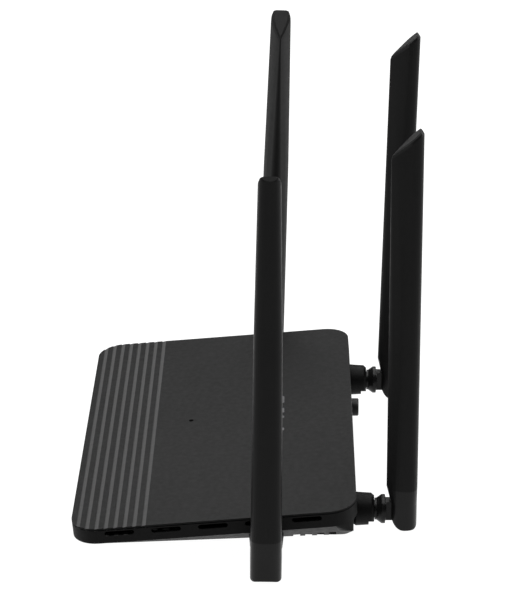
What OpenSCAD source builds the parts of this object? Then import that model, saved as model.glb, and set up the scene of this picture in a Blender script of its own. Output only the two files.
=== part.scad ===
// Desktop wireless router: low wedge-shaped casing, four folding blade antennas,
// network sockets, power inlet and push button on the rear wall.
// Front is -Y, rear is +Y, the feet stand on z = 0. All sizes in millimetres.

/* [Casing] */
// Width of the casing
case_w = 190; // [186:1:196]
// Depth of the top plate, front edge to rear edge
case_d = 122; // [120:1:126]
// Corner radius of the top plate seen from above
corner_r = 12; // [9:1:14]
// Height of the upright side wall of the top cover
wall_h = 7.2; // [6.4:0.2:7.4]
// Backward rise of the top plate, degrees
tilt = 5; // [4.6:0.1:5.2]
// Height of the top plate's front edge above the table
front_top_z = 15.6; // [15:0.1:16]
// Wall thickness of the top cover
top_wall = 2.2; // [2:0.1:2.4]
// Wall thickness of the bottom cover
belly_wall = 1.8; // [1.6:0.1:2]
// How far the flat underside is set in from the sides and front
belly_inset = 24; // [22:1:26]
// Gap between the table and the flat underside
foot_gap = 1.4; // [1.2:0.1:1.6]

/* [Ribs and slots] */
// Number of ribs across the front of the top plate
rib_count = 8; // [6:1:9]
// Distance from one rib to the next
rib_pitch = 4.05; // [3.8:0.05:4.3]
// Width of the slanted face of each rib
rib_slope_w = 1.75; // [1.5:0.05:2]
// Depth of each rib's step
rib_depth = 0.3; // [0.2:0.1:0.5]
// Number of ventilation slots in each side wall
slot_count = 5; // [3:1:5]
// Distance from one side slot to the next
slot_pitch = 20; // [18:1:20]
// Length and height of a side slot
slot_size = [12.7, 2.2];

/* [Antennas] */
// Height of an antenna above its hinge pin
blade_top = 174.5; // [150:0.5:185]
// Width of an antenna where it meets its base
blade_w = 13.2; // [12.6:0.1:13.6]
// Width of an antenna half way up
blade_mid_w = 12; // [11:0.1:12.6]
// Width of an antenna at its tip
blade_tip_w = 9.3; // [8:0.1:10.4]
// Distance from the hinge pin to the blade's inner ridge
blade_in = 7.6; // [7:0.05:7.9]
// Distance from the hinge pin to the blade's outer face
blade_out = 5.8; // [5.6:0.05:6]
// Length of the slanted cut at the tip
tip_cut = 11; // [8:0.5:13]

/* [Hidden] */
$fn = 64;
small = 0.01;
front_y = -76.35;
plate_d = case_d / cos(tilt);
wall_y = front_y + case_d - 1;
wall_in_y = wall_y - belly_wall;
floor_z = foot_gap + belly_wall;
slope = tan(tilt);

// Antenna places: hinge pin x, y, z, heading of the stub, lean about the stub,
// lean about the pin, distance from the pin to the inner end of the socket sleeve
rear_pin_y = front_y + case_d + 21.3;
side_pin_y = front_y + 83.7;
side_pin_x = case_w / 2 + 12.9;
rear_right = [66, rear_pin_y, 11.5, 90, 0, -0.3, 26.8];
rear_left = [-66, rear_pin_y, 11.5, 90, 0, 1.2, 26.8];
side_right = [side_pin_x, side_pin_y, 8.5, 0, -0.5, 0, 37.9];
side_left = [-side_pin_x, side_pin_y, 8.5, 180, 1.7, 0, 37.9];
ANTENNAS = [rear_right, rear_left, side_right, side_left];

// Antenna socket on the casing and the swivel neck that turns in it
boss_end = 12.9;
boss_r = 6.95;
boss_draft = 0.06;
boss_length = 12;
sleeve_r = 6;
shaft_r = 3.9;
shaft_gap = 0.08;
clip_r = 5;
clip_t = 0.8;
groove_r = 3.3;
neck_waist_r = 4.8;
neck_rim_r = 6.4;
neck_shoulder_r = 5.15;
tongue_half = 2.5;
tongue_r = 4.4;
pin_r = 1.5;
pin_half = 5.5;
pin_gap = 0.05;
cable_bore_r = 1.5;

// Knuckle at the foot of each antenna
knuckle_r = 7.4;
knuckle_half = [5.7, 6.7];
foot_half = 5.9;
foot_corner = 2;
loft_h = 4;
seam_h = 11.4;
knuckle_slot_half = 2.8;
knuckle_slot_r = 4.75;
spigot_r = 3.6;
spigot_top = 22;
blade_bore_r = 3.1;
widest_u = 0.75;
section_power = 0.7;
base_sharpness = 1;
mid_sharpness = 1.45;
tip_sharpness = 1.85;
tip_slope = 43;
tip_shoulder = 1.6;
// Rounding of the tip: how far in and how far down each step of its edge lies, and how much
// of the way in the outer face goes
outer_share = 0.4;
tip_edge = [[0, 1.6], [0.45, 0.45], [1.6, 0]];
knuckle_power = 0.78;

// Circuit board and what stands on it
board_half_w = 58;
board_front_y = -42;
board_rear_y = wall_in_y - 0.3;
board_z = 4;
board_t = 1.6;
deck_z = board_z + board_t;
board_fix = [[-52, -36], [52, -36], [-54, 4], [54, 4]];
case_fix = [[-64, -28], [64, -28], [-64, 20], [64, 20]];
feet_at = [[-61, -42], [61, -42], [-61, 37], [61, 37]];
post_top_z = 6;

// Rear wall layout, left to right
dc_x = -50;
button_x = -36;
button_z = 11.2;
button_r = 4.15;
button_end_y = wall_y + 5.1;
wan_x = [-20];
lan_x = [-1, 13, 27, 41];
reset_x = 53;
reset_z = 9;
port_h = 12;
port_front_y = wall_y - 0.2;
port_rear_y = wall_y - 19.5;
port_side = 1.05;
port_hole = [11.9, 7.6];
port_hole_z = deck_z + 1.8;
port_hole_depth = 13;

// Status marks in the top plate: x and width of each
mark_y = front_y + 90.2;
marks = [[-18.3, 7.4], [-7, 5.1], [-0.1, 2.6], [12.5, 3]];
mark_d = 1.7;
dot_at = [-3.3, front_y + 48.3];
dot_r = 1.1;

// ---- Shared shapes and places ----

// Height of the top plate's surface at a given y
function plate_z(y) = front_top_z + (y - front_y) * slope;

// Frame of the tilted top plate: y runs back from its front edge, z = 0 on its surface
module on_plate() {
    translate([0, front_y, front_top_z]) rotate([tilt, 0, 0]) children();
}

// Frame of an antenna's stub: +X out of the casing, origin on the hinge pin
module on_stub(a) {
    translate([a[0], a[1], a[2]]) rotate([0, 0, a[3]]) rotate([a[4], 0, 0]) children();
}

// Frame of the folding antenna itself: as the stub's, leaned about the pin
module on_arm(a) {
    on_stub(a) rotate([0, a[5], 0]) children();
}

// Solid of revolution about the stub: points are [distance from the axis, place along it]
module turned(points) {
    rotate([0, 90, 0]) rotate_extrude() polygon(points);
}

// Rectangle with round corners: half width, front edge, rear edge, front and rear radius
module rounded_plan(half_w, front, rear, r, rear_r = 0) {
    back = rear_r > 0 ? rear_r : r;
    translate([-half_w, front + r]) square([2 * half_w, rear - front - r - back]);
    for (corner = [[front, r, 0], [rear, back, 1]]) {
        cr = corner[1];
        translate([-half_w + cr, corner[0] - corner[2] * cr]) square([2 * (half_w - cr), cr]);
        for (x = [-half_w + cr, half_w - cr])
            translate([x, corner[0] + (1 - 2 * corner[2]) * cr]) circle(cr);
    }
}

// Upright box standing on z, centred in x and y
module block(x, y, z, size) {
    translate([x - size[0] / 2, y - size[1] / 2, z]) cube(size);
}

// Upright rod from z to top
module rod(x, y, z, top, r) {
    translate([x, y, z]) cylinder(r = r, h = top - z);
}

// Point at t along a cubic curve
function curve(p, t) = pow(1 - t, 3) * p[0] + 3 * t * pow(1 - t, 2) * p[1]
    + 3 * t * t * (1 - t) * p[2] + pow(t, 3) * p[3];
function unit(v) = v / norm(v);

// Round cable swept along a list of points that never runs straight up
module cable(points, r, sides = 8) {
    last = len(points) - 1;
    rings = [for (i = [0:last])
        let (t = unit(points[min(i + 1, last)] - points[max(i - 1, 0)]))
        let (s = unit(cross(t, [0, 0, 1])), u = cross(s, t))
        for (k = [0:sides - 1]) points[i] + r * (cos(k * 360 / sides) * s + sin(k * 360 / sides) * u)];
    sleeve = [for (i = [0:last - 1], k = [0:sides - 1])
        let (a = i * sides + k, b = i * sides + (k + 1) % sides)
        [a, b, b + sides, a + sides]];
    start = [for (k = [sides - 1:-1:0]) k];
    end = [for (k = [0:sides - 1]) last * sides + k];
    polyhedron(rings, concat(sleeve, [start, end]));
}

// ---- Casing ----

module rib_grooves() {
    for (k = [0:rib_count - 1]) {
        y = 2.5 + k * rib_pitch;
        translate([-case_w / 2 - 1, 0, 0]) rotate([90, 0, 90]) linear_extrude(case_w + 2)
            polygon([[y, -rib_depth], [y + rib_slope_w, 0], [y + rib_slope_w, 1], [y, 1]]);
    }
}

module side_slots() {
    half = slot_size[0] / 2 - slot_size[1] / 2;
    for (side = [-1, 1], k = [0:slot_count - 1]) {
        y = 14.75 + slot_size[0] / 2 + k * slot_pitch;
        translate([side * case_w / 2, y, -2.8]) rotate([0, 90, 0]) {
            cube([slot_size[1], 2 * half, 3 * top_wall], center = true);
            for (e = [-half, half]) translate([0, e, 0])
                cylinder(d = slot_size[1], h = 3 * top_wall, center = true, $fn = 24);
        }
    }
}

module top_cover() {
    half = case_w / 2;
    shadow_z = -1.15;
    shadow = [0.4, 0.5];
    color("#37373a") difference() {
        union() {
            on_plate() difference() {
                translate([0, 0, -wall_h]) linear_extrude(wall_h)
                    rounded_plan(half, 0, plate_d, corner_r);
                translate([0, 0, -wall_h - 1]) linear_extrude(wall_h - top_wall + 1)
                    rounded_plan(half - top_wall, top_wall, plate_d - top_wall, corner_r - top_wall);
                translate([0, 0, shadow_z]) linear_extrude(shadow[0]) difference() {
                    rounded_plan(half + 1, -1, plate_d + 1, corner_r + 1);
                    rounded_plan(half - shadow[1], shadow[1], plate_d - shadow[1], corner_r - shadow[1]);
                }
                rib_grooves();
                side_slots();
            }
            for (p = case_fix) rod(p[0], p[1], post_top_z, plate_z(p[1]) - 1, 3.2);
        }
        for (p = case_fix) rod(p[0], p[1], post_top_z - 1, 13, 1.4);
        for (m = marks) mark_shape(m, -3, 1);
        rod(dot_at[0], dot_at[1], plate_z(dot_at[1]) - 4, plate_z(dot_at[1]) + 1, dot_r);
    }
}

// One level of the belly's outline, thin, for blending into the next
module belly_level(inset, z, angle, lift, rear, rear_r) {
    half = case_w / 2 - inset;
    translate([0, front_y, z]) rotate([angle, 0, 0]) translate([0, 0, lift]) linear_extrude(small)
        rounded_plan(half, inset, (rear - front_y) / cos(angle), corner_r - 1, rear_r, $fn = 32);
}

// Bowl of the belly: grow shrinks it to the inner face
module belly(grow, lift, bottom, rear) {
    mid_z = 5.3;
    hull() {
        belly_level(0.3 + grow, front_top_z, tilt, -wall_h + lift, rear, corner_r - 1);
        belly_level(10 + grow, mid_z + lift, 3, 0, rear, 5);
        belly_level(belly_inset + grow, bottom, 0, 0, rear, 5);
    }
}

// Fuller rear corner of the belly, where its slanted side ends at the rear wall
module corner_swell(side) {
    hull() {
        intersection() {
            belly_level(0.3, front_top_z, tilt, -wall_h, wall_y, corner_r - 1);
            translate([side * case_w / 2 - 20, wall_y - 8, 0]) cube([40, 8, 30]);
        }
        translate([side * 88.6, wall_y - 3, 12.8]) rotate([0, -side * 28, 0]) cylinder(r = 3, h = small);
        rod(side * 68, wall_y - 3.5, foot_gap + 0.4, foot_gap + 0.5, 3);
    }
}

// Round socket that an antenna's neck turns in, with a stepped notch under its mouth
module antenna_socket(a) {
    root = min(a[6] - 6, boss_end + boss_length);
    root_r = boss_r + boss_draft * (root - boss_end - 1.2);
    notch_depth = 1.2;
    notch_from = -boss_end - 2.4;
    difference() {
        turned([[0, -a[6]], [sleeve_r, -a[6]], [sleeve_r, -root - 2], [root_r, -root],
                [boss_r, -boss_end - 1.2], [boss_r - 1.1, -boss_end], [0, -boss_end]]);
        intersection() {
            turned([[boss_r - notch_depth, notch_from], [root_r + 1, notch_from],
                    [root_r + 1, -boss_end + 1], [boss_r - notch_depth, -boss_end + 1]]);
            translate([notch_from - 1, -10, -13]) cube([6, 20, 10]);
        }
    }
}

module bottom_cover() {
    vent = [8, 3, 20];
    floor_vent = [2, 14, 4];
    color("#2a2a2c") difference() {
        union() {
            difference() {
                belly(0, -small, foot_gap, wall_y);
                belly(belly_wall + 0.3, 2.3, floor_z, wall_in_y);
            }
            for (side = [-1, 1]) difference() {
                corner_swell(side);
                belly(belly_wall + 0.3, 2.3, floor_z, wall_in_y);
            }
            for (a = ANTENNAS) on_stub(a) antenna_socket(a);
            for (p = case_fix) rod(p[0], p[1], foot_gap + small, post_top_z, 4.2);
            for (p = board_fix) rod(p[0], p[1], foot_gap + small, board_z, 3.2);
        }
        for (a = ANTENNAS) on_stub(a) translate([-a[6] - 1, 0, 0]) rotate([0, 90, 0])
            cylinder(r = shaft_r + shaft_gap, h = a[6]);
        for (p = case_fix) rod(p[0], p[1], 0, post_top_z + 1, 1.7);
        for (p = case_fix) rod(p[0], p[1], 0, 3.4, 3.2);
        for (p = board_fix) rod(p[0], p[1], 2, board_z + 1, 1.35);
        port_cutout(wan_x[0], wan_x[0]);
        port_cutout(lan_x[0], lan_x[3]);
        rear_bore(dc_x, deck_z + 5.5, 4.3);
        rear_bore(button_x, button_z, button_r + 0.3);
        rear_bore(reset_x, reset_z, 1.1);
        for (side = [-1, 1], first = [-41.6, 20.4], k = [0:3])
            block(side * 75.5, first + k * 5.2, foot_gap - 1, vent);
        for (x = [-40:8:40], y = [-30, 30]) block(x, y, 0, floor_vent);
        for (p = feet_at) rod(p[0], p[1], 0, foot_gap + 0.4, 5.1);
    }
}

// Opening in the rear wall for a row of network sockets
module port_cutout(first, last) {
    width = last - first + port_hole[0] + 2 * port_side + 0.4;
    translate([(first + last) / 2 - width / 2, wall_in_y - 1, deck_z - 0.2]) cube([width, 4, port_h + 0.4]);
}

module rear_bore(x, z, r) {
    translate([x, wall_in_y - 1, z]) rotate([-90, 0, 0]) cylinder(r = r, h = 5);
}

// Small rounded bar through the top plate
module mark_shape(m, low, high) {
    half = m[1] / 2 - mark_d / 2;
    z = plate_z(mark_y);
    translate([m[0], mark_y, z + low]) {
        translate([-half, -mark_d / 2, 0]) cube([2 * half, mark_d, high - low]);
        for (e = [-half, half]) translate([e, 0, 0]) cylinder(d = mark_d, h = high - low, $fn = 24);
    }
}

// Part of a shape that lies inside the top plate's thickness
module within_plate() {
    intersection() {
        on_plate() translate([-40, 0, -top_wall]) cube([80, plate_d, top_wall - 0.02]);
        children();
    }
}

module status_windows() {
    color("#6a6a6c") for (m = marks) within_plate() mark_shape(m, -3, 1);
}

module indicator_dot() {
    color("#1c1c1e") within_plate()
        rod(dot_at[0], dot_at[1], plate_z(dot_at[1]) - 4, plate_z(dot_at[1]) + 1, dot_r);
}

module rubber_feet() {
    color("#1b1b1b") for (p = feet_at) rod(p[0], p[1], 0, foot_gap + 0.4, 5);
}

module screw(x, y, head_z, tip_z, up) {
    low = min(head_z, tip_z);
    head = up ? [head_z - 1.6, head_z] : [head_z, head_z + 1.4];
    difference() {
        union() {
            rod(x, y, low, max(head_z, tip_z), 1.3);
            rod(x, y, head[0], head[1], 2.7);
        }
        for (turn = [0, 90]) translate([x, y, up ? head[0] : head[1]]) rotate([0, 0, turn])
            cube([3.2, 0.7, 1.2], center = true);
    }
}

module case_screws() {
    color("#8f9296") for (p = case_fix) screw(p[0], p[1], 3.4, 12, true);
}

module board_screws() {
    color("#8f9296") for (p = board_fix) screw(p[0], p[1], deck_z, 2.3, false);
}

module rating_label() {
    color("#d8d8d4") block(0, 0, foot_gap - 0.12, [56, 28, 0.12]);
}

// ---- Circuit board ----

module main_board() {
    color("#1f6b3a") difference() {
        translate([-board_half_w, board_front_y, board_z])
            cube([2 * board_half_w, board_rear_y - board_front_y, board_t]);
        for (p = board_fix) rod(p[0], p[1], board_z - 1, deck_z + 1, 1.6);
    }
}

// Socket body: one cavity with a latch notch for each place in the list
module port_body(places) {
    first = places[0] - port_hole[0] / 2 - port_side;
    last = places[len(places) - 1] + port_hole[0] / 2 + port_side;
    latch = [6.3, 1.6];
    difference() {
        translate([first, port_rear_y, deck_z]) cube([last - first, port_front_y - port_rear_y, port_h]);
        for (x = places) {
            translate([x - port_hole[0] / 2, port_front_y - port_hole_depth, port_hole_z])
                cube([port_hole[0], port_hole_depth + 1, port_hole[1]]);
            translate([x - latch[0] / 2, port_front_y - port_hole_depth, port_hole_z + port_hole[1] - small])
                cube([latch[0], port_hole_depth + 1, latch[1]]);
        }
    }
}

module wan_port() {
    color("#24406b") port_body(wan_x);
}

module lan_ports() {
    color("#26262a") port_body(lan_x);
}

module port_contacts() {
    color("#c9a24a") for (x = concat(wan_x, lan_x), k = [0:7])
        translate([x + (k - 3.5) * 1.02, port_front_y - 2.2, port_hole_z]) rotate([-14, 0, 0])
            translate([-0.2, -8.6, 0.05]) cube([0.4, 8.6, 0.35]);
}

module dc_jack() {
    z = deck_z + 5.5;
    dc_deep = 14;
    color("#1a1a1a") difference() {
        union() {
            translate([dc_x - 4.5, wall_in_y - dc_deep, deck_z]) cube([9, dc_deep - 0.2, 10.8]);
            translate([dc_x, wall_in_y - 0.3, z]) rotate([-90, 0, 0]) cylinder(r = 4.2, h = belly_wall + 0.2);
        }
        translate([dc_x, wall_y - 12, z]) rotate([-90, 0, 0]) cylinder(r = 3, h = 20);
        translate([dc_x, wall_y - 20, z]) rotate([-90, 0, 0]) cylinder(r = 1, h = 10);
    }
}

module dc_pin() {
    color("#c8ccd0") translate([dc_x, wall_y - 14, deck_z + 5.5])
        rotate([-90, 0, 0]) cylinder(r = 1, h = 12);
}

module power_switch() {
    color("#e4e2da") difference() {
        translate([button_x - 4.3, wall_y - 22.5, deck_z]) cube([8.6, 12.5, 9.5]);
        translate([button_x - 1.9, wall_y - 19, button_z - 1.9]) cube([3.8, 10, 3.8]);
    }
}

module power_button() {
    flange_y = wall_in_y - 0.3;
    stem_y = wall_y - 14;
    color("#202022") union() {
        translate([button_x, flange_y, button_z]) rotate([-90, 0, 0])
            rotate_extrude() polygon([[0, -1.5], [5, -1.5], [5, 0], [button_r, 0],
                [button_r, button_end_y - flange_y - 0.4], [button_r - 0.4, button_end_y - flange_y],
                [0, button_end_y - flange_y]]);
        translate([button_x - 1.5, stem_y, button_z - 1.5]) cube([3, flange_y - 1 - stem_y, 3]);
    }
}

module reset_switch() {
    color("#3a3a3c") difference() {
        block(reset_x, wall_in_y - 5.5, deck_z, [6, 4.4, 6]);
        translate([reset_x, wall_in_y - 5, reset_z]) rotate([-90, 0, 0]) cylinder(r = 1.9, h = 5);
    }
}

module reset_plunger() {
    color("#b04030") translate([reset_x, wall_in_y - 4.5, reset_z]) rotate([-90, 0, 0])
        cylinder(r = 1.5, h = 3);
}

module processor() {
    color("#141416") block(4, -4, deck_z, [15, 15, 1.3]);
}

module thermal_pad() {
    color("#9aa0b4") block(4, -4, deck_z + 1.3, [15, 15, 0.5]);
}

module heat_sink() {
    base_z = deck_z + 1.8;
    fins = 9;
    color("#b9bdc2") union() {
        block(4, -4, base_z, [30, 28, 1.6]);
        for (k = [0:fins - 1]) block(4 + (k - (fins - 1) / 2) * 3.6, -4, base_z + 1.5, [1.1, 28, 5]);
    }
}

module shield_cans() {
    color("#c3c6c9") for (x = [-36, 38]) difference() {
        block(x, -22, deck_z, [26, 22, 2.6]);
        block(x, -22, deck_z - small, [25.4, 21.4, 2.3]);
    }
}

module memory_chip() {
    color("#18181a") block(3, -28, deck_z, [12, 8, 1.1]);
}

module flash_chip() {
    color("#18181a") block(-14, -30, deck_z, [6, 8, 1.6]);
}

// Metal can with round ends
module crystal() {
    color("#cfd2d5") union() {
        block(-18, -4, deck_z, [6.4, 4.4, 3.4]);
        for (end = [-3.2, 3.2]) rod(-18 + end, -4, deck_z, deck_z + 3.4, 2.2);
    }
}

module magnetics() {
    color("#202022") for (x = [-20, 6, 34]) block(x, wall_y - 23.8, deck_z, [15, 6, 4.6]);
}

module capacitors() {
    color("#2c3548") for (p = [[-46, 24], [-38, 16], [-29, 14]]) rod(p[0], p[1], deck_z, deck_z + 8, 3.2);
}

module inductor() {
    color("#4a4a4c") difference() {
        block(-37, 6, deck_z, [8, 8, 4]);
        rod(-37, 6, deck_z + 3, deck_z + 5, 2.6);
    }
}

module status_leds() {
    color("#f2f0d8") for (m = marks) block(m[0], mark_y, deck_z, [1.6, 0.8, 0.7]);
}

module light_guide() {
    top = plate_z(mark_y) - top_wall - 0.4;
    color("#dfe6ea") union() {
        for (m = marks) block(m[0], mark_y, deck_z + 1, [2, 1.6, top - deck_z - 1]);
        translate([marks[0][0], mark_y - 0.8, top - 3]) cube([marks[3][0] - marks[0][0], 1.6, 2]);
    }
}

// Aerial cables from the board into the hollow necks
module coax_leads() {
    steps = 12;
    color("#16181c") for (a = ANTENNAS) {
        side = a[0] > 0 ? 1 : -1;
        rear = a[3] == 90;
        pad = [side * 46, rear ? 9 : -6, deck_z + 1.6];
        out = rear ? [0, 1, 0] : [side, 0, 0];
        mouth = [a[0], a[1], a[2]] - (a[6] + 2) * out;
        rise = rear ? [side * 4, 13, 4.8] : [side * 6, 0, 1.3];
        route = [pad, pad + rise, mouth - (rear ? 14 : 10) * out, mouth];
        cable(concat([for (i = [0:steps]) curve(route, i / steps)], [mouth + 16 * out]), 0.65);
    }
}

// ---- Antennas ----

module swivel_neck(a) {
    tail = -a[6] - 2;
    clip = -a[6] - 0.2;
    color("#232325") on_stub(a) difference() {
        union() {
            turned([[0, tail], [shaft_r - 0.5, tail], [shaft_r, tail + 0.5], [shaft_r, clip - clip_t - 0.05],
                    [groove_r, clip - clip_t - 0.05], [groove_r, clip + 0.05], [shaft_r, clip + 0.05],
                    [shaft_r, -12.6], [neck_waist_r, -12.6], [neck_waist_r, -11.9], [neck_rim_r - 0.1, -9.8],
                    [neck_rim_r, -9.6], [neck_rim_r, -8.3], [neck_rim_r - 0.15, -8.15],
                    [neck_shoulder_r, -8.15], [neck_shoulder_r, -7.75], [0, -7.75]]);
            intersection() {
                translate([-8, -tongue_half, -tongue_r]) cube([8 + tongue_r, 2 * tongue_half, 2 * tongue_r]);
                union() {
                    translate([-8, -5, -tongue_r]) cube([8, 10, 2 * tongue_r]);
                    rotate([90, 0, 0]) cylinder(r = tongue_r, h = 10, center = true);
                }
            }
        }
        rotate([90, 0, 0]) cylinder(r = pin_r + pin_gap, h = 20, center = true);
        translate([tail - 1, 0, 0]) rotate([0, 90, 0]) cylinder(r = cable_bore_r, h = -tail - 3.6);
        translate([-4.4, 0, 0]) cylinder(r = 1.2, h = 10);
    }
}

module retaining_clip(a) {
    at = -a[6] - 0.2 - clip_t;
    color("#a7abb0") on_stub(a) difference() {
        turned([[groove_r + 0.05, at], [clip_r, at], [clip_r, at + clip_t], [groove_r + 0.05, at + clip_t]]);
        translate([at - 1, -2.2, 0]) cube([3, 4.4, 10]);
    }
}

module fold_pin(a) {
    color("#b4b7bb") on_arm(a) rotate([90, 0, 0]) cylinder(r = pin_r, h = 2 * pin_half, center = true);
}

// Oval outline of the knuckle seen along the antenna
function knuckle_outline(corners = 48) = [for (k = [0:corners - 1]) let (t = k * 360 / corners)
    [knuckle_half[0] * sign(cos(t)) * pow(abs(cos(t)), knuckle_power),
     knuckle_half[1] * sign(sin(t)) * pow(abs(sin(t)), knuckle_power)]];

// Outline of the knuckle's lower half seen along the hinge pin
function foot_outline(corners = 12) = concat([[foot_half, loft_h], [-foot_half, loft_h]],
    [for (k = [0:corners]) let (t = 180 + k * 90 / corners) [foot_half * cos(t), knuckle_r * sin(t)]],
    [for (k = [0:corners]) let (t = 270 + k * 90 / corners)
        [foot_half - foot_corner * (1 - cos(t)), -knuckle_r + foot_corner * (1 + sin(t))]]);

module antenna_base(a) {
    reach = 24;
    color("#29292b") on_arm(a) difference() {
        union() {
            hull() {
                blade_level(seam_h - small, blade_w / 2, base_sharpness);
                translate([0, 0, loft_h - small]) linear_extrude(small) polygon(knuckle_outline());
            }
            intersection() {
                translate([0, 0, -knuckle_r]) linear_extrude(knuckle_r + loft_h) polygon(knuckle_outline());
                rotate([90, 0, 0]) linear_extrude(reach, center = true) polygon(foot_outline());
            }
            translate([0, 0, seam_h - small]) cylinder(r = spigot_r, h = spigot_top - seam_h);
        }
        rotate([90, 0, 0]) cylinder(r = knuckle_slot_r, h = 2 * knuckle_slot_half, center = true);
        translate([-reach, -knuckle_slot_half, -reach])
            cube([reach, 2 * knuckle_slot_half, reach + knuckle_slot_r]);
        translate([-small, -knuckle_slot_half, -reach])
            cube([knuckle_slot_r + small, 2 * knuckle_slot_half, reach]);
        rotate([90, 0, 0]) cylinder(r = pin_r, h = 2 * pin_half, center = true);
        translate([0, 0, 3]) cylinder(r = cable_bore_r, h = spigot_top);
    }
}

// Outline of the blade seen along the antenna: a bowed outer face, and an inner side that is
// an oval at sharpness 1 and two straight flanks with a ridge between them at sharpness 2
function blade_section(half_w, sharpness, inset, corners = 8) = concat(
    [for (k = [-corners:corners]) let (t = k * 90 / corners)
        [widest_u + (blade_out - outer_share * inset - widest_u) * pow(cos(t), section_power),
         sign(t) * (half_w - inset) * pow(abs(sin(t)), section_power)]],
    [for (k = [1:2 * corners - 1]) let (t = 90 - k * 90 / corners)
        [widest_u - (blade_in - inset + widest_u) * pow(cos(t), sharpness),
         sign(t) * (half_w - inset) * pow(abs(sin(t)), sharpness)]]);

module blade_level(h, half_w, sharpness, inset = 0) {
    translate([0, 0, h]) linear_extrude(small) polygon(blade_section(half_w, sharpness, inset));
}

// The whole blade with its slanted tip, drawn in by inset all round and lowered by drop at the tip
module blade_body(inset, drop) {
    top = blade_top - drop;
    difference() {
        hull() {
            blade_level(seam_h, blade_w / 2, base_sharpness, inset);
            blade_level(0.56 * blade_top, blade_mid_w / 2, mid_sharpness, inset);
            blade_level(top - small, blade_tip_w / 2, tip_sharpness, inset);
        }
        translate([-blade_in, -20, top - tip_cut]) rotate([0, -tip_slope, 0])
            translate([-10, 0, 0]) cube([40, 40, 40]);
        translate([blade_out, -20, blade_top - tip_shoulder]) rotate([0, 45, 0])
            translate([-30, 0, 0]) cube([40, 40, 40]);
    }
}

module antenna_blade(a) {
    color("#262628") on_arm(a) difference() {
        hull() for (edge = tip_edge) blade_body(edge[0], edge[1]);
        translate([0, 0, seam_h - 1]) cylinder(r = spigot_r + 0.05, h = spigot_top - seam_h + 1.2);
        translate([0, 0, spigot_top]) cylinder(r = blade_bore_r, h = blade_top - tip_cut - spigot_top - 8);
    }
}

module radiator(a) {
    feed = 70;
    color("#b98a4a") on_arm(a) union() {
        translate([0, 0, 6]) cylinder(r = 0.65, h = 150 - 6);
        translate([0, 0, feed - 28]) cylinder(r = 2.4, h = 26);
        translate([0, 0, feed + 6]) cylinder(r = 1.3, h = 8);
        translate([0, 0, feed + 40]) cylinder(r = 1.3, h = 8);
    }
}

top_cover();
bottom_cover();
status_windows();
indicator_dot();
rubber_feet();
case_screws();
board_screws();
main_board();
wan_port();
lan_ports();
port_contacts();
dc_jack();
dc_pin();
power_switch();
reset_switch();
processor();
thermal_pad();
heat_sink();
shield_cans();
memory_chip();
flash_chip();
crystal();
magnetics();
capacitors();
inductor();
status_leds();
light_guide();
coax_leads();
rating_label();
power_button();
reset_plunger();
swivel_neck(rear_right);  // swivel_neck_rear_right
swivel_neck(rear_left);  // swivel_neck_rear_left
swivel_neck(side_right);  // swivel_neck_side_right
swivel_neck(side_left);  // swivel_neck_side_left
retaining_clip(rear_right);  // retaining_clip_rear_right
retaining_clip(rear_left);  // retaining_clip_rear_left
retaining_clip(side_right);  // retaining_clip_side_right
retaining_clip(side_left);  // retaining_clip_side_left
fold_pin(rear_right);  // fold_pin_rear_right
fold_pin(rear_left);  // fold_pin_rear_left
fold_pin(side_right);  // fold_pin_side_right
fold_pin(side_left);  // fold_pin_side_left
antenna_base(rear_right);  // antenna_base_rear_right
antenna_base(rear_left);  // antenna_base_rear_left
antenna_base(side_right);  // antenna_base_side_right
antenna_base(side_left);  // antenna_base_side_left
antenna_blade(rear_right);  // antenna_blade_rear_right
antenna_blade(rear_left);  // antenna_blade_rear_left
antenna_blade(side_right);  // antenna_blade_side_right
antenna_blade(side_left);  // antenna_blade_side_left
radiator(rear_right);  // radiator_rear_right
radiator(rear_left);  // radiator_rear_left
radiator(side_right);  // radiator_side_right
radiator(side_left);  // radiator_side_left
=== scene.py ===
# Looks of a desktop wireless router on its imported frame: moulded black plastics with
# fine grain, ribbed top plate, four blade antennas, sockets and board seen through the vents.
import math

import bpy
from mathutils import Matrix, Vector

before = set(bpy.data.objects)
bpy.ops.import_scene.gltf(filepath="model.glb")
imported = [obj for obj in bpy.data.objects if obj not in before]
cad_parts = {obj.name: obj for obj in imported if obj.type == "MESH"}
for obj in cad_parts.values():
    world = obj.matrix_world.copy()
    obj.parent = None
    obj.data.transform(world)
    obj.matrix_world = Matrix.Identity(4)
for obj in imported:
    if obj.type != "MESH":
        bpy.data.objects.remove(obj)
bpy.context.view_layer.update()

ANTENNAS = ("rear_right", "rear_left", "side_right", "side_left")

# The ribbed front of the cover, in metres: place and height of the plate's front edge, its
# tilt in degrees, and the ribs' first place, spacing, slope width, number and the painted-light
# tones that lighten their slopes as if lit from the front
PLATE_FRONT = (-0.07635, 0.0156)
PLATE_TILT = 5.0
RIB_START = 0.0025
RIB_PITCH = 0.00405
RIB_SLOPE = 0.00175
RIB_COUNT = 8
RIB_PAINTED_LIGHT_TONE = (0.048, 0.056)
# How fast the painted light on a rib's slope comes in at its edge, per metre
RIB_EDGE = 6000.0

# Painted shade: deeper tones of the cover's sides and of the lower half's upward faces
SIDE_SHADE_TONE = (0.0040, 0.0050)
SHOULDER_SHADE_TONE = (0.0022, 0.0030)

# The viewpoint: place in metres, angles down and sideways in degrees, lens in millimetres
CAMERA_PLACE = (1.03693, 0.01632, 0.53039)
CAMERA_DOWN = 23.395
CAMERA_YAW = 0.523
CAMERA_LENS = 151.0
CAMERA_SHIFT = -0.0026


# ---- Material building blocks ----

def new_material(name):
    """An empty material with a Principled shader, its node tree and its output."""
    material = bpy.data.materials.new(name)
    material.use_nodes = True
    tree = material.node_tree
    shader = tree.nodes["Principled BSDF"]
    return material, tree, shader


def add_node(tree, kind, **inputs):
    """A node with some of its inputs set by name."""
    node = tree.nodes.new(kind)
    for key, value in inputs.items():
        node.inputs[key.replace("_", " ")].default_value = value
    return node


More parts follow.
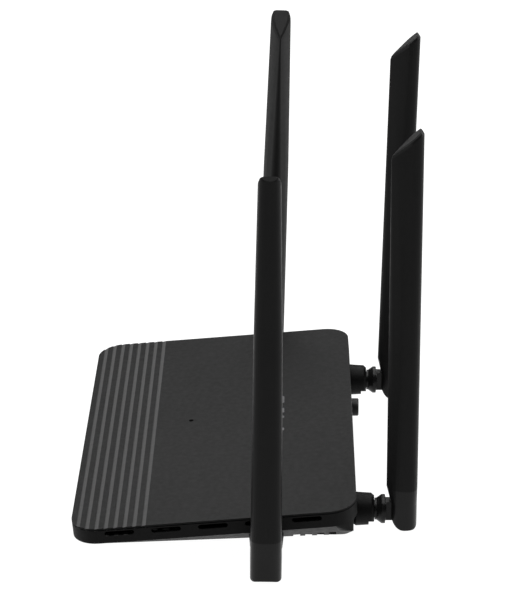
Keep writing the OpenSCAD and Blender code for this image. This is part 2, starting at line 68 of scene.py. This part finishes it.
def object_position(tree):
    """The point's place in the frame, in metres."""
    return tree.nodes.new("ShaderNodeTexCoord").outputs["Object"]


def noise(tree, scale, detail=3.0, roughness=0.55):
    """Fractal noise from 0 to 1, fixed to the object."""
    node = add_node(tree, "ShaderNodeTexNoise", Scale=scale, Detail=detail, Roughness=roughness)
    tree.links.new(object_position(tree), node.inputs["Vector"])
    return node.outputs["Fac"]


def ramp(tree, value, low, high, start=0.3, stop=0.7):
    """Maps a 0..1 value to colours or grey levels between two ends."""
    node = tree.nodes.new("ShaderNodeValToRGB")
    stops = node.color_ramp.elements
    stops[0].position, stops[1].position = start, stop
    stops[0].color, stops[1].color = grey(low), grey(high)
    tree.links.new(value, node.inputs["Fac"])
    return node.outputs["Color"]


def grey(value):
    """A colour from one number, three or four."""
    if isinstance(value, (int, float)):
        value = (value, value, value)
    return (*value[:3], 1.0)


def bump(tree, height, strength, distance, under=None):
    """A surface direction shaken by a height, over another one if given."""
    node = add_node(tree, "ShaderNodeBump", Strength=strength, Distance=distance)
    tree.links.new(height, node.inputs["Height"])
    if under is not None:
        tree.links.new(under, node.inputs["Normal"])
    return node.outputs["Normal"]


def moulded(name, dark, light, rough=(0.42, 0.56), grain=2600.0, strength=0.35, gloss=0.3):
    """Moulded plastic: slow colour drift, spark-eroded grain and a slightly uneven sheen."""
    material, tree, shader = new_material(name)
    drift = ramp(tree, noise(tree, 28.0, 4.0), dark, light)
    tree.links.new(drift, shader.inputs["Base Color"])
    sheen = ramp(tree, noise(tree, 420.0, 5.0), rough[0], rough[1])
    tree.links.new(sheen, shader.inputs["Roughness"])
    grain_normal = bump(tree, noise(tree, grain, 2.0, 0.6), strength, 0.00003)
    tree.links.new(bump(tree, noise(tree, 60.0, 2.0), 0.15, 0.0001, grain_normal), shader.inputs["Normal"])
    shader.inputs["IOR"].default_value = 1.46
    shader.inputs["Specular IOR Level"].default_value = gloss
    return material


def scaled(tree, value, factor, offset=0.0):
    """value * factor + offset."""
    node = add_node(tree, "ShaderNodeMath")
    node.operation = "MULTIPLY_ADD"
    tree.links.new(value, node.inputs[0])
    node.inputs[1].default_value, node.inputs[2].default_value = factor, offset
    return node.outputs["Value"]


def combined(tree, operation, first, second):
    """A math node on two inputs, each a link or a number."""
    node = add_node(tree, "ShaderNodeMath")
    node.operation = operation
    for socket, value in zip(node.inputs, (first, second)):
        if isinstance(value, (int, float)):
            socket.default_value = value
        else:
            tree.links.new(value, socket)
    return node.outputs["Value"]


def along(tree, direction):
    """How far a point lies along a direction, in metres."""
    node = tree.nodes.new("ShaderNodeVectorMath")
    node.operation = "DOT_PRODUCT"
    tree.links.new(object_position(tree), node.inputs[0])
    node.inputs[1].default_value = direction
    return node.outputs["Value"]


def rib_painted_light_mask(tree):
    """1 on the slopes of the ribs, where painted light lightens them as if lit from the front; 0 on the
    rest of the cover.
    """
    tilt = math.radians(PLATE_TILT)
    back = scaled(tree, along(tree, (0.0, math.cos(tilt), math.sin(tilt))), 1.0,
                  -(PLATE_FRONT[0] * math.cos(tilt) + PLATE_FRONT[1] * math.sin(tilt)) - RIB_START)
    place = combined(tree, "PINGPONG", scaled(tree, back, 1.0, -RIB_SLOPE / 2), RIB_PITCH / 2)
    on_slope = scaled(tree, combined(tree, "SUBTRACT", RIB_SLOPE / 2, place), RIB_EDGE, 0.5)
    before_last = scaled(tree, back, -RIB_EDGE, RIB_EDGE * RIB_PITCH * (RIB_COUNT - 0.5))
    after_first = scaled(tree, back, RIB_EDGE, 1.0)
    mask = combined(tree, "MINIMUM", on_slope, before_last)
    mask = combined(tree, "MINIMUM", mask, after_first)
    return clamped(tree, combined(tree, "MINIMUM", mask, facing_up(tree, 0.8125, 0.9375)))


def facing_up(tree, start, stop):
    """How far the upward part of the surface's direction has gone from start, 0, to stop, 1."""
    facing = tree.nodes.new("ShaderNodeSeparateXYZ")
    tree.links.new(tree.nodes.new("ShaderNodeNewGeometry").outputs["Normal"], facing.inputs["Vector"])
    return scaled(tree, facing.outputs["Z"], 1.0 / (stop - start), -start / (stop - start))


def clamped(tree, value):
    """value, kept between 0 and 1."""
    clamp = tree.nodes.new("ShaderNodeClamp")
    tree.links.new(value, clamp.inputs["Value"])
    return clamp.outputs["Result"]


def overlay(material, mask, tone):
    """Another grainy tone over a material, where a mask is 1; used here for painted shade and painted
    light.
    """
    tree = material.node_tree
    shader = tree.nodes["Principled BSDF"]
    mix = tree.nodes.new("ShaderNodeMix")
    mix.data_type = "RGBA"
    tree.links.new(mask, mix.inputs["Factor"])
    tree.links.new(shader.inputs["Base Color"].links[0].from_socket, mix.inputs["A"])
    tree.links.new(ramp(tree, noise(tree, 900.0, 4.0), *tone), mix.inputs["B"])
    tree.links.new(mix.outputs["Result"], shader.inputs["Base Color"])


def ribbed_plate():
    """The cover's plastic: painted shade darkens its sides, painted light lightens the slopes of its ribs.
    """
    material = moulded("plate_black", 0.0088, 0.0102, rough=(0.50, 0.62), strength=0.25, gloss=0.09)
    tree = material.node_tree
    # Painted shade: the cover's steep sides darker, as if out of the light.
    overlay(material, clamped(tree, facing_up(tree, 0.73333, 0.4)), SIDE_SHADE_TONE)
    # Painted light: the rib slopes lighter, as if lit from the front.
    overlay(material, rib_painted_light_mask(tree), RIB_PAINTED_LIGHT_TONE)
    return material


def belly_plastic():
    """The lower half's plastic, with painted shade making it a little deeper where it faces up."""
    material = moulded("belly_black", 0.0054, 0.0070, rough=(0.46, 0.60), gloss=0.09)
    tree = material.node_tree
    # Painted shade: the upward faces darker, against the overhead light.
    overlay(material, clamped(tree, facing_up(tree, -0.1, 0.15)), SHOULDER_SHADE_TONE)
    return material


def metal(name, dark, light, rough=(0.25, 0.42), stretch=(1.0, 1.0, 14.0)):
    """Plated or drawn metal with fine streaks along one direction."""
    material, tree, shader = new_material(name)
    mapping = tree.nodes.new("ShaderNodeMapping")
    mapping.inputs["Scale"].default_value = stretch
    tree.links.new(object_position(tree), mapping.inputs["Vector"])
    streak = add_node(tree, "ShaderNodeTexNoise", Scale=700.0, Detail=4.0)
    tree.links.new(mapping.outputs["Vector"], streak.inputs["Vector"])
    tree.links.new(ramp(tree, streak.outputs["Fac"], dark, light), shader.inputs["Base Color"])
    tree.links.new(ramp(tree, streak.outputs["Fac"], rough[0], rough[1]), shader.inputs["Roughness"])
    tree.links.new(bump(tree, streak.outputs["Fac"], 0.2, 0.00002), shader.inputs["Normal"])
    shader.inputs["Metallic"].default_value = 1.0
    return material


def clear_plastic(name, tint, rough=0.25, see_through=0.55):
    """Clouded light-pipe plastic."""
    material, tree, shader = new_material(name)
    tree.links.new(ramp(tree, noise(tree, 900.0, 3.0), tuple(0.8 * c for c in tint), tint),
                   shader.inputs["Base Color"])
    tree.links.new(ramp(tree, noise(tree, 300.0), rough * 0.8, rough * 1.3), shader.inputs["Roughness"])
    shader.inputs["Transmission Weight"].default_value = see_through
    shader.inputs["IOR"].default_value = 1.49
    return material


def circuit_board():
    """Green solder mask with faint copper tracks running under it."""
    material, tree, shader = new_material("board_mask")
    brick = add_node(tree, "ShaderNodeTexBrick", Scale=90.0, Mortar_Size=0.03)
    tree.links.new(object_position(tree), brick.inputs["Vector"])
    brick.inputs["Color1"].default_value = grey((0.010, 0.105, 0.045))
    brick.inputs["Color2"].default_value = grey((0.013, 0.135, 0.055))
    brick.inputs["Mortar"].default_value = grey((0.035, 0.21, 0.075))
    tree.links.new(brick.outputs["Color"], shader.inputs["Base Color"])
    tree.links.new(ramp(tree, noise(tree, 500.0), 0.28, 0.42), shader.inputs["Roughness"])
    tree.links.new(bump(tree, brick.outputs["Fac"], 0.3, 0.00003), shader.inputs["Normal"])
    return material


# ---- Materials ----

plate_black = ribbed_plate()
belly_black = belly_plastic()
antenna_black = moulded("antenna_black", 0.0050, 0.0064, rough=(0.38, 0.50), grain=2100.0, gloss=0.10)
knuckle_black = moulded("knuckle_black", 0.0060, 0.0076, rough=(0.28, 0.38), grain=2100.0, gloss=0.17)
neck_black = moulded("neck_black", 0.0042, 0.0058, rough=(0.24, 0.34), grain=1500.0, gloss=0.17)
button_black = moulded("button_black", 0.0075, 0.0100, rough=(0.36, 0.48), grain=1800.0, gloss=0.16)
rubber = moulded("rubber_black", 0.0100, 0.0150, rough=(0.72, 0.88), grain=1200.0, strength=0.6)
socket_black = moulded("socket_black", 0.0110, 0.0150, rough=(0.38, 0.52))
socket_blue = moulded("socket_blue", (0.014, 0.030, 0.085), (0.018, 0.038, 0.105), rough=(0.38, 0.52))
# The indicator dot: near-black and without sheen, painted as shade.
dot_black = moulded("dot_black", 0.0012, 0.0020, rough=(0.50, 0.60), strength=0.1, gloss=0.0)
chip_black = moulded("chip_black", 0.0070, 0.0100, rough=(0.42, 0.56), grain=900.0)
switch_white = moulded("switch_white", (0.62, 0.60, 0.54), (0.68, 0.66, 0.60))
plunger_red = moulded("plunger_red", (0.34, 0.03, 0.02), (0.42, 0.04, 0.03))
ferrite = moulded("ferrite", 0.030, 0.042, rough=(0.55, 0.75), grain=700.0)
pad_grey = moulded("pad_grey", (0.28, 0.30, 0.36), (0.32, 0.34, 0.41), rough=(0.7, 0.85))
cable_jacket = moulded("cable_jacket", 0.0090, 0.0120, rough=(0.45, 0.6))
sleeve_blue = moulded("sleeve_blue", (0.012, 0.018, 0.050), (0.016, 0.024, 0.065),
                      rough=(0.2, 0.3), strength=0.1)
label_film = moulded("label_film", (0.52, 0.52, 0.50), (0.56, 0.56, 0.54),
                     rough=(0.3, 0.4), strength=0.1)
led_white = moulded("led_white", (0.72, 0.70, 0.50), (0.80, 0.78, 0.56),
                    rough=(0.15, 0.25), strength=0.1)
window_grey = moulded("window_grey", (0.054, 0.054, 0.056), (0.066, 0.066, 0.068),
                      rough=(0.3, 0.4), strength=0.1)
guide_clear = clear_plastic("guide_clear", (0.80, 0.84, 0.87))
screw_steel = metal("screw_steel", (0.40, 0.40, 0.41), (0.56, 0.56, 0.57))
clip_steel = metal("clip_steel", (0.36, 0.36, 0.37), (0.50, 0.50, 0.52))
can_tin = metal("can_tin", (0.50, 0.50, 0.50), (0.64, 0.64, 0.65), stretch=(1.0, 12.0, 1.0))
sink_aluminium = metal("sink_aluminium", (0.50, 0.51, 0.52), (0.66, 0.67, 0.68), stretch=(1.0, 14.0, 1.0))
gold = metal("gold", (0.62, 0.43, 0.14), (0.80, 0.58, 0.22), rough=(0.18, 0.3))
pin_tin = metal("pin_tin", (0.55, 0.55, 0.56), (0.70, 0.70, 0.71), rough=(0.15, 0.28))
copper = metal("copper", (0.45, 0.20, 0.09), (0.62, 0.30, 0.14))
board_mask = circuit_board()

MATERIAL_OF = {
    "top_cover": plate_black, "bottom_cover": belly_black, "status_windows": window_grey,
    "indicator_dot": dot_black, "rubber_feet": rubber, "case_screws": screw_steel,
    "board_screws": screw_steel, "main_board": board_mask, "wan_port": socket_blue,
    "lan_ports": socket_black, "port_contacts": gold, "dc_jack": socket_black,
    "dc_pin": pin_tin, "power_switch": switch_white, "reset_switch": socket_black,
    "processor": chip_black, "thermal_pad": pad_grey, "heat_sink": sink_aluminium,
    "shield_cans": can_tin, "memory_chip": chip_black, "flash_chip": chip_black,
    "crystal": can_tin, "magnetics": chip_black, "capacitors": sleeve_blue,
    "inductor": ferrite, "status_leds": led_white, "light_guide": guide_clear,
    "coax_leads": cable_jacket, "rating_label": label_film, "power_button": button_black,
    "reset_plunger": plunger_red,
}
ANTENNA_MATERIALS = {
    "swivel_neck": neck_black, "retaining_clip": clip_steel, "fold_pin": clip_steel,
    "antenna_base": knuckle_black, "antenna_blade": antenna_black, "radiator": copper,
}
for part, material in ANTENNA_MATERIALS.items():
    for place in ANTENNAS:
        MATERIAL_OF[f"{part}_{place}"] = material


def dress(node, material):
    """Gives a CAD node its finished material."""
    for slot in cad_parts[node].material_slots:
        slot.material = material


for node, material in MATERIAL_OF.items():
    dress(node, material)


# ---- Studio ----

def add_camera():
    """Looks from the right-hand side, slightly from above, through a long lens."""
    down, yaw = math.radians(CAMERA_DOWN), math.radians(CAMERA_YAW)
    camera = bpy.data.objects.new("camera", bpy.data.cameras.new("camera"))
    bpy.context.collection.objects.link(camera)
    forward = Vector((-math.cos(down) * math.cos(yaw), -math.cos(down) * math.sin(yaw), -math.sin(down)))
    camera.location = CAMERA_PLACE
    camera.rotation_euler = forward.to_track_quat("-Z", "Y").to_euler()
    camera.data.lens = CAMERA_LENS
    camera.data.sensor_width = 36.0
    camera.data.shift_x = CAMERA_SHIFT
    camera.data.clip_end = 50.0
    bpy.context.scene.camera = camera


def add_floor():
    """A plain, faintly glowing white floor that goes on past the picture."""
    size = 6.0
    corners = [(-size, -size, 0), (size, -size, 0), (size, size, 0), (-size, size, 0)]
    mesh = bpy.data.meshes.new("floor")
    mesh.from_pydata(corners, [], [(0, 1, 2, 3)])
    floor = bpy.data.objects.new("floor", mesh)
    bpy.context.collection.objects.link(floor)
    material, tree, shader = new_material("floor_white")
    tree.links.new(ramp(tree, noise(tree, 6.0), 0.10, 0.12), shader.inputs["Base Color"])
    shader.inputs["Roughness"].default_value = 0.9
    shader.inputs["Specular IOR Level"].default_value = 0.0
    shader.inputs["Emission Color"].default_value = grey(1.0)
    shader.inputs["Emission Strength"].default_value = 1.0
    mesh.materials.append(material)


def add_softbox(name, place, aim, size, power):
    """A large rectangular light at a place, turned to a point."""
    light = bpy.data.lights.new(name, "AREA")
    light.shape = "RECTANGLE"
    light.size, light.size_y = size
    light.energy = power
    lamp = bpy.data.objects.new(name, light)
    lamp.location = place
    lamp.rotation_euler = (Vector(aim) - Vector(place)).to_track_quat("-Z", "Y").to_euler()
    bpy.context.collection.objects.link(lamp)


def add_world(level):
    """Even white light from all round."""
    world = bpy.data.worlds.new("studio")
    world.use_nodes = True
    world.node_tree.nodes["Background"].inputs["Color"].default_value = grey(1.0)
    world.node_tree.nodes["Background"].inputs["Strength"].default_value = level
    bpy.context.scene.world = world


add_camera()
add_floor()
add_world(0.10)
add_softbox("overhead", (-0.2, 0.0, 2.4), (0.0, 0.0, 0.0), (2.4, 2.4), 85.0)
add_softbox("front_low", (-0.3, -2.2, 0.9), (0.0, 0.0, 0.05), (2.0, 0.8), 32.0)
add_softbox("rear_low", (-0.5, 2.4, 0.7), (0.0, 0.0, 0.08), (2.0, 0.9), 42.0)
add_softbox("far_near", (-0.5, 0.0, 0.45), (0.0, 0.0, 0.02), (0.5, 0.3), 1.6)
bpy.context.scene.view_settings.view_transform = "Standard"
